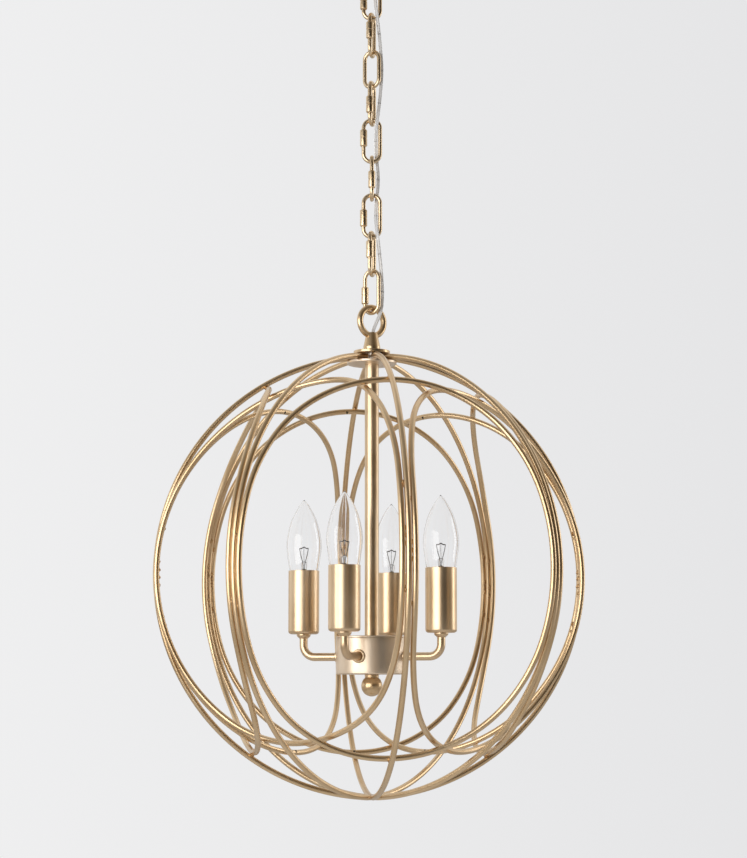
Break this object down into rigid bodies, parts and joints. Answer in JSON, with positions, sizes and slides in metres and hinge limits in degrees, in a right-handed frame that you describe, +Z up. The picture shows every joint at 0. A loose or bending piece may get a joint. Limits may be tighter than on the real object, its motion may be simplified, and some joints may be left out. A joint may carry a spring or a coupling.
{
  "type": "orb chandelier",
  "caption": "Open ball of bent metal rods around a cluster of candle lights on arms, hung by a chain with a supply cord from a ceiling canopy.",
  "frame": {"origin": "middle between the two slots of the ceiling bracket, at the ceiling face it bears on", "axes": "+Z up into the ceiling, along the hanging axis; -Y towards the viewer of the picture, +X to the viewer's right and along the bracket"},
  "size_m": [0.4221, 0.4219, 0.8854],
  "materials": {
    "gold_paint": "satin",
    "plain_steel": "satin",
    "brass": "satin",
    "holder_resin": "matte",
    "clear_glass": "clear gloss",
    "cord_jacket": "clear jacket over metal strands"
  },
  "bodies": {
    "ceiling": {"ceiling_bracket": "plain_steel", "ground_screw": "brass", "bracket_locknuts": "plain_steel", "ceiling_pipe": "plain_steel", "canopy": "gold_paint", "canopy_nut": "gold_paint", "canopy_loop": "gold_paint", "supply_cord": "cord_jacket"},
    "link_1": {"chain_link_1": "gold_paint"},
    "link_2": {"chain_link_2": "gold_paint"},
    "link_3": {"chain_link_3": "gold_paint"},
    "link_4": {"chain_link_4": "gold_paint"},
    "link_5": {"chain_link_5": "gold_paint"},
    "link_6": {"chain_link_6": "gold_paint"},
    "link_7": {"chain_link_7": "gold_paint"},
    "link_8": {"chain_link_8": "gold_paint"},
    "link_9": {"chain_link_9": "gold_paint"},
    "orb": {"fixture_loop": "gold_paint", "top_washer": "gold_paint", "top_plate": "gold_paint", "stem": "gold_paint", "stem_pipes": "plain_steel", "hub_cup": "gold_paint", "hub_lid": "gold_paint", "finial": "gold_paint", "arm_front": "gold_paint", "arm_right": "gold_paint", "arm_back": "gold_paint", "arm_left": "gold_paint", "arm_bushings": "gold_paint", "arm_nuts": "plain_steel", "sleeve_front": "gold_paint", "sleeve_right": "gold_paint", "sleeve_back": "gold_paint", "sleeve_left": "gold_paint", "lampholders": "holder_resin", "rib_1": "gold_paint", "rib_2": "gold_paint", "rib_3": "gold_paint", "rib_4": "gold_paint", "rib_5": "gold_paint", "rib_6": "gold_paint", "rib_7": "gold_paint", "rib_8": "gold_paint", "ring_1": "gold_paint", "ring_2": "gold_paint", "ring_3": "gold_paint", "ring_4": "gold_paint", "ring_5": "gold_paint", "ring_6": "gold_paint", "ring_7": "gold_paint", "ring_8": "gold_paint"},
    "bulb_front": {"bulb_glass_front": "clear_glass", "bulb_base_front": "brass"},
    "bulb_right": {"bulb_glass_right": "clear_glass", "bulb_base_right": "brass"},
    "bulb_back": {"bulb_glass_back": "clear_glass", "bulb_base_back": "brass"},
    "bulb_left": {"bulb_glass_left": "clear_glass", "bulb_base_left": "brass"}
  },
  "joints": [
    {"name": "link_1_swing", "type": "hinge", "parent": "ceiling", "child": "link_1", "pos_m": [0, 0, -0.07065], "axis": [0, 1, 0], "range_deg": [-10, 10], "deforming": ["supply_cord"]},
    {"name": "link_2_swing", "type": "hinge", "parent": "link_1", "child": "link_2", "pos_m": [0, 0, -0.1079], "axis": [1, 0, 0], "range_deg": [-10, 10], "deforming": ["supply_cord"]},
    {"name": "link_3_swing", "type": "hinge", "parent": "link_2", "child": "link_3", "pos_m": [0, 0, -0.1462], "axis": [0.2588, 0.9659, 0], "range_deg": [-10, 10], "deforming": ["supply_cord"]},
    {"name": "link_4_swing", "type": "hinge", "parent": "link_3", "child": "link_4", "pos_m": [0, 0, -0.1783], "axis": [0.866, -0.5, 0], "range_deg": [-10, 10], "deforming": ["supply_cord"]},
    {"name": "link_5_swing", "type": "hinge", "parent": "link_4", "child": "link_5", "pos_m": [0, 0, -0.2166], "axis": [0.2588, 0.9659, 0], "range_deg": [-10, 10], "deforming": ["supply_cord"]},
    {"name": "link_6_swing", "type": "hinge", "parent": "link_5", "child": "link_6", "pos_m": [0, 0, -0.2549], "axis": [1, 0, 0], "range_deg": [-10, 10], "deforming": ["supply_cord"]},
    {"name": "link_7_swing", "type": "hinge", "parent": "link_6", "child": "link_7", "pos_m": [0, 0, -0.2932], "axis": [0, 1, 0], "range_deg": [-10, 10], "deforming": ["supply_cord"]},
    {"name": "link_8_swing", "type": "hinge", "parent": "link_7", "child": "link_8", "pos_m": [0, 0, -0.3315], "axis": [1, 0, 0], "range_deg": [-10, 10], "deforming": ["supply_cord"]},
    {"name": "link_9_swing", "type": "hinge", "parent": "link_8", "child": "link_9", "pos_m": [0, 0, -0.3698], "axis": [0.2588, 0.9659, 0], "range_deg": [-10, 10], "deforming": ["supply_cord"]},
    {"name": "orb_swing", "type": "hinge", "parent": "link_9", "child": "orb", "pos_m": [0, 0, -0.4081], "axis": [0.8192, -0.5736, 0], "range_deg": [-15, 15], "deforming": ["supply_cord"]},
    {"name": "bulb_front_out", "type": "slide", "parent": "orb", "child": "bulb_front", "axis": [0, 0, 1], "range_m": [0, 0.03]},
    {"name": "bulb_right_out", "type": "slide", "parent": "orb", "child": "bulb_right", "axis": [0, 0, 1], "range_m": [0, 0.03]},
    {"name": "bulb_back_out", "type": "slide", "parent": "orb", "child": "bulb_back", "axis": [0, 0, 1], "range_m": [0, 0.03]},
    {"name": "bulb_left_out", "type": "slide", "parent": "orb", "child": "bulb_left", "axis": [0, 0, 1], "range_m": [0, 0.03]}
  ]
}
